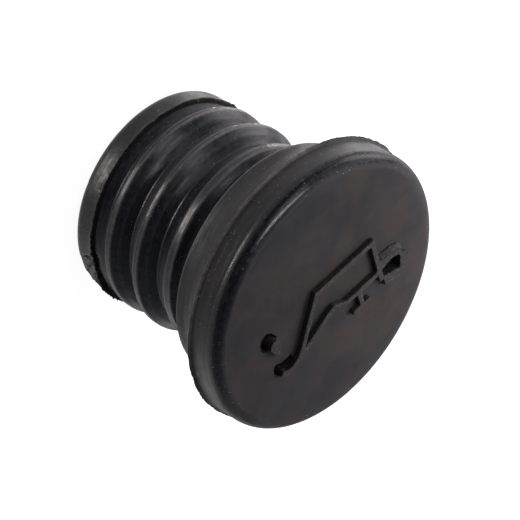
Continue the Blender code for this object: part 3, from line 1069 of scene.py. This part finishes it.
def rubber_material():
    """Black moulded rubber: matt and mottled on the head, glossier on the shank, pale on its scuffed edges,
    with painted light and shade in places.
    """
    material = bpy.data.materials.new("moulded_rubber")
    material.use_nodes = True
    graph = Graph(material.node_tree)
    shader = material.node_tree.nodes["Principled BSDF"]
    dust, mottle, streaks = dust_group(), mottle_group(), streak_group()
    spot = graph.add("ShaderNodeTexCoord").outputs["Object"]
    worn, shank, sign, torn_and_shade, gloss = (graph.add("ShaderNodeAttribute", attribute_name=name).outputs["Fac"]
                                      for name in MARKS)
    lines = graph.group(streaks, spot, STREAKS)
    broad = graph.group(mottle, spot, BROAD_PATCHES)
    patchy = graph.group(mottle, spot, SMALL_PATCHES)
    fine = graph.group(mottle, spot, FINE_PATCHES)
    head = graph.colour(broad, HEAD_COLOUR, HEAD_BROWN)
    head = graph.colour(graph.times(fine, PALE_SHARE), head, HEAD_PALE)
    warm = graph.times(patchy, graph.ramp(lines, 0.3, 0.7))
    barrel = graph.colour(warm, SHANK_COLOUR, SHANK_WARM)
    colour = graph.colour(shank, head, barrel)
    # Pale for wear on crests and edges, and painted light on the rim's side and a painted highlight on the
    # flash.
    rubbed_and_lit = graph.times(worn, graph.math("ADD", graph.times(patchy, 0.5), 0.5))
    colour = graph.colour(rubbed_and_lit, colour, WORN_AND_LIT_COLOUR)
    # Black for fresh tears and for painted shade: the head edge's dark band, the flash's shadow, the ledge's
    # shadow, the pockets and the pictogram's walls.
    colour = graph.colour(torn_and_shade, colour, TORN_AND_SHADE_COLOUR)
    flecked = graph.times(sign, graph.ramp(fine, 0.55, 0.9))
    colour = graph.colour(graph.times(flecked, SIGN_FLECKS), colour, WORN_AND_LIT_COLOUR)
    small = graph.group(dust, spot, SMALL_DUST)
    large = graph.group(dust, spot, LARGE_DUST)
    settled = graph.group(mottle, spot, SETTLED_PATCHES)
    film = graph.group(mottle, spot, FILM_PATCHES)
    barrel_only = graph.ramp(shank, 0.05, 0.3)
    dusty = graph.most(barrel_only, graph.times(sign, SIGN_DUST))
    cloudy = graph.most(film, graph.times(patchy, 0.5))
    filmed = graph.times(graph.times(cloudy, dusty), FILM_SHARE)
    colour = graph.colour(filmed, colour, DUST_FILM)
    specks = graph.most(graph.times(small, settled), large)
    specks = graph.times(specks, dusty)
    colour = graph.colour(graph.times(specks, SPECK_SHARE), colour, DUST_COLOUR)
    graph.feed(shader.inputs["Base Color"], colour)
    roughness = graph.value(gloss, HEAD_ROUGHNESS, SHANK_ROUGHNESS)
    grimy = graph.most(film, graph.times(patchy, barrel_only))
    roughness = graph.math("ADD", roughness, graph.times(grimy, GRIME_ROUGHNESS))
    roughness = graph.math("ADD", roughness, graph.ramp(lines, 0.35, 0.7, -0.04, 0.12))
    pale = graph.most(graph.times(rubbed_and_lit, 0.5), specks)
    roughness = graph.value(pale, roughness, DUST_ROUGHNESS)
    roughness = graph.value(graph.ramp(torn_and_shade, 0.45, 0.85), roughness, TORN_AND_SHADE_ROUGHNESS)
    facing = graph.add("ShaderNodeLayerWeight", {"Blend": 0.5}).outputs["Facing"]
    roughness = graph.most(roughness, graph.ramp(facing, 0.45, 0.85, 0.0, EDGE_ON_ROUGHNESS))
    graph.feed(shader.inputs["Roughness"], roughness)
    shader.inputs["Specular IOR Level"].default_value = SPECULAR_LEVEL
    grain = graph.add("ShaderNodeTexNoise", {"Vector": spot, "Scale": GRAIN_PER_METRE,
                                             "Detail": 3.0, "Roughness": 0.6})
    height = graph.math("ADD", graph.times(graph.times(lines, shank), 0.8),
                        graph.times(grain.outputs[0], 0.5))
    bump = graph.add("ShaderNodeBump", {"Strength": BUMP_STRENGTH, "Distance": BUMP_DEPTH, "Height": height})
    graph.feed(shader.inputs["Normal"], bump.outputs["Normal"])
    return material


def look_from(azimuth, elevation):
    """Unit direction from the object towards a viewer."""
    return Vector((math.sin(azimuth) * math.cos(elevation), -math.cos(azimuth) * math.cos(elevation),
                   math.sin(elevation)))


def add_camera():
    """Camera at the photo's viewing angle."""
    data = bpy.data.cameras.new("photo_camera")
    data.lens = CAMERA_LENS
    data.sensor_width = SENSOR
    data.clip_start = 0.01
    data.clip_end = 20.0
    camera = bpy.data.objects.new("photo_camera", data)
    bpy.context.scene.collection.objects.link(camera)
    backward = look_from(CAMERA_AZIMUTH, CAMERA_ELEVATION)
    right = Vector((math.cos(CAMERA_AZIMUTH), math.sin(CAMERA_AZIMUTH), 0.0))
    up = backward.cross(right)
    level = Matrix((right, up, backward)).transposed()
    turned = level @ Matrix.Rotation(CAMERA_ROLL, 3, "Z")
    right, up, backward = turned.col[0], turned.col[1], turned.col[2]
    aim = Vector((0.0, 0.0, AIM_HEIGHT)) - right * AIM_RIGHT + up * AIM_DOWN
    place = aim + backward * CAMERA_DISTANCE
    camera.matrix_world = Matrix.Translation(place) @ turned.to_4x4()
    bpy.context.scene.camera = camera


def area_light(name, direction, distance, width, height, power, colour):
    """A soft box that faces the cap from a direction."""
    data = bpy.data.lights.new(name, "AREA")
    data.shape = "RECTANGLE"
    data.size = width
    data.size_y = height
    data.energy = power
    data.color = colour
    lamp = bpy.data.objects.new(name, data)
    bpy.context.scene.collection.objects.link(lamp)
    direction = Vector(direction).normalized()
    middle = Vector((0.0, 0.0, FACE_HEIGHT / 2))
    lamp.location = middle + direction * distance
    lamp.rotation_euler = direction.to_track_quat("Z", "Y").to_euler()
    return lamp


def add_world():
    """A dim room, darkest behind the camera."""
    world = bpy.data.worlds.new("studio")
    bpy.context.scene.world = world
    world.use_nodes = True
    graph = Graph(world.node_tree)
    background = world.node_tree.nodes["Background"]
    background.inputs["Color"].default_value = (0.90, 0.94, 1.0, 1.0)
    facing = graph.add("ShaderNodeVectorMath", {0: graph.add("ShaderNodeTexCoord").outputs["Generated"],
                                                1: (0.41, -0.79, 0.46)}, operation="DOT_PRODUCT")
    graph.feed(background.inputs["Strength"], graph.ramp(facing.outputs["Value"], 0.15, 0.85, 0.28, 0.035))


def add_lights():
    """Boxes for the body and the head's edge, a glow behind and a low strip for the ribs' highlights."""
    lamps = {name: area_light(name, *settings) for name, settings in SOFT_BOXES.items()}
    lamps["near_box"].visible_camera = False
    lamps["near_box"].visible_glossy = False
    for name in ("edge_box", "back_glow", "low_strip"):
        lamps[name].visible_diffuse = False
    for name in ("back_glow", "low_strip"):
        lamps[name].data.cycles.use_multiple_importance_sampling = False


def floor_material():
    """White to the camera and in reflections, with the cap's shadow left faintly on it."""
    material = bpy.data.materials.new("pale_floor")
    material.use_nodes = True
    graph = Graph(material.node_tree)
    paper = material.node_tree.nodes["Principled BSDF"]
    paper.inputs["Roughness"].default_value = 0.9
    paper.inputs["Specular IOR Level"].default_value = 0.0
    rays = graph.add("ShaderNodeLightPath").outputs
    seen = graph.most(rays["Is Camera Ray"], rays["Is Glossy Ray"])
    seen = graph.most(seen, rays["Is Transmission Ray"])
    graph.feed(paper.inputs["Base Color"], graph.colour(seen, (0.8, 0.8, 0.8, 1.0), (0.3, 0.3, 0.3, 1.0)))
    paper.inputs["Emission Color"].default_value = (1.0, 1.0, 1.0, 1.0)
    graph.feed(paper.inputs["Emission Strength"], graph.times(seen, 0.94))
    return material


def add_floor_plane():
    """Plain pale floor."""
    bpy.ops.mesh.primitive_plane_add(size=FLOOR_SIZE, location=(0.0, 0.0, -FLOOR_DROP))
    floor = bpy.context.object
    floor.name = "floor"
    floor.data.materials.append(floor_material())
    floor.visible_shadow = False


def add_cap():
    """The finished cap in place of the CAD node."""
    mesh = cap_mesh()
    mesh.materials.append(rubber_material())
    cap = bpy.data.objects.new("cap_rubber", mesh)
    bpy.context.scene.collection.objects.link(cap)
    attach(cap, "root")
    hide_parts("oil_filler_cap")


add_camera()
add_world()
add_lights()
add_floor_plane()
add_cap()
bpy.context.scene.view_settings.view_transform = "Standard"
bpy.context.view_layer.update()
